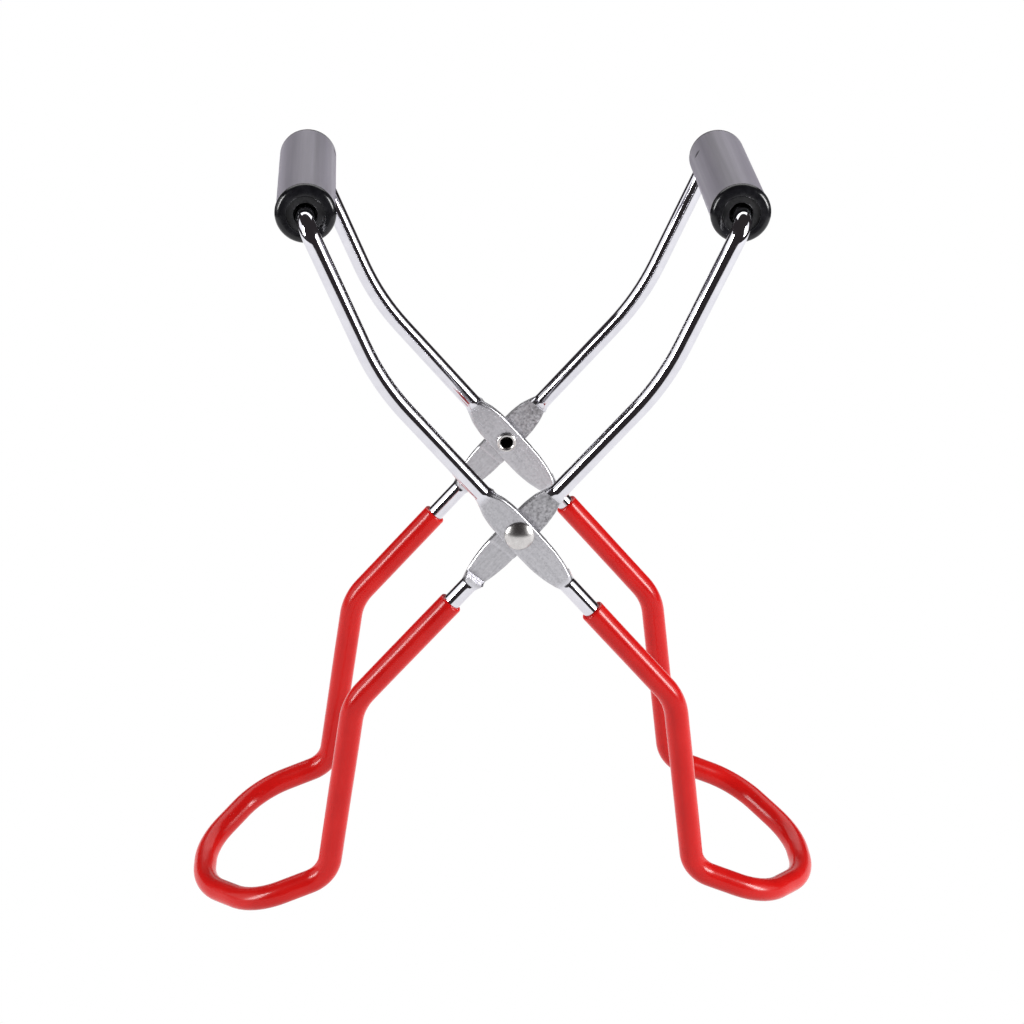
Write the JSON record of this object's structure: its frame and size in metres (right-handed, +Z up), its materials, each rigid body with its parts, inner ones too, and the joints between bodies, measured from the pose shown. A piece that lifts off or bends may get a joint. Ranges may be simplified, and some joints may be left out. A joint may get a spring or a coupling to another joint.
{
  "type": "canning jar lifter",
  "caption": "Scissor-action jar lifter: crossed chrome wire frames riveted at both sides, red coated finger-loop handles, black free-turning rollers on the jaws.",
  "frame": {"origin": "midway between the two finger loops, level with their lowest points, under the pivots", "axes": "+Z up from the handles to the jaws, X across the jaws (+X towards the right jaw), Y along the rollers and the rivets (-Y is the front)"},
  "size_m": [0.1832, 0.0682, 0.2207],
  "materials": {
    "chrome_wire": "bright chrome plate on round steel wire, satin on the pressed leaves",
    "rivet_steel": "nickel-plated rivet, satin",
    "red_vinyl": "dipped red vinyl, glossy",
    "black_sleeve": "satin black rubber tube",
    "black_cap": "glossy black moulding",
    "black_core": "black moulding"
  },
  "bodies": {
    "left_jaw": {"left_frame_wire": "chrome_wire", "left_handle_coat": "red_vinyl", "front_rivet": "rivet_steel", "back_rivet": "rivet_steel"},
    "right_jaw": {"right_frame_wire": "chrome_wire", "right_handle_coat": "red_vinyl"},
    "left_roller": {"left_roller_sleeve": "black_sleeve", "left_roller_core": "black_core", "left_roller_front_cap": "black_cap", "left_roller_back_cap": "black_cap"},
    "right_roller": {"right_roller_sleeve": "black_sleeve", "right_roller_core": "black_core", "right_roller_front_cap": "black_cap", "right_roller_back_cap": "black_cap"}
  },
  "joints": [
    {"name": "jaw_pivot", "type": "hinge", "parent": "left_jaw", "child": "right_jaw", "pos_m": [0, 0, 0.12663], "axis": [0, 1, 0], "range_deg": [-48, 70]},
    {"name": "left_roller_spin", "type": "hinge", "parent": "left_jaw", "child": "left_roller", "pos_m": [-0.05504, 0, 0.21285], "axis": [0, 1, 0], "continuous": true},
    {"name": "right_roller_spin", "type": "hinge", "parent": "right_jaw", "child": "right_roller", "pos_m": [0.05504, 0, 0.21285], "axis": [0, 1, 0], "continuous": true}
  ]
}
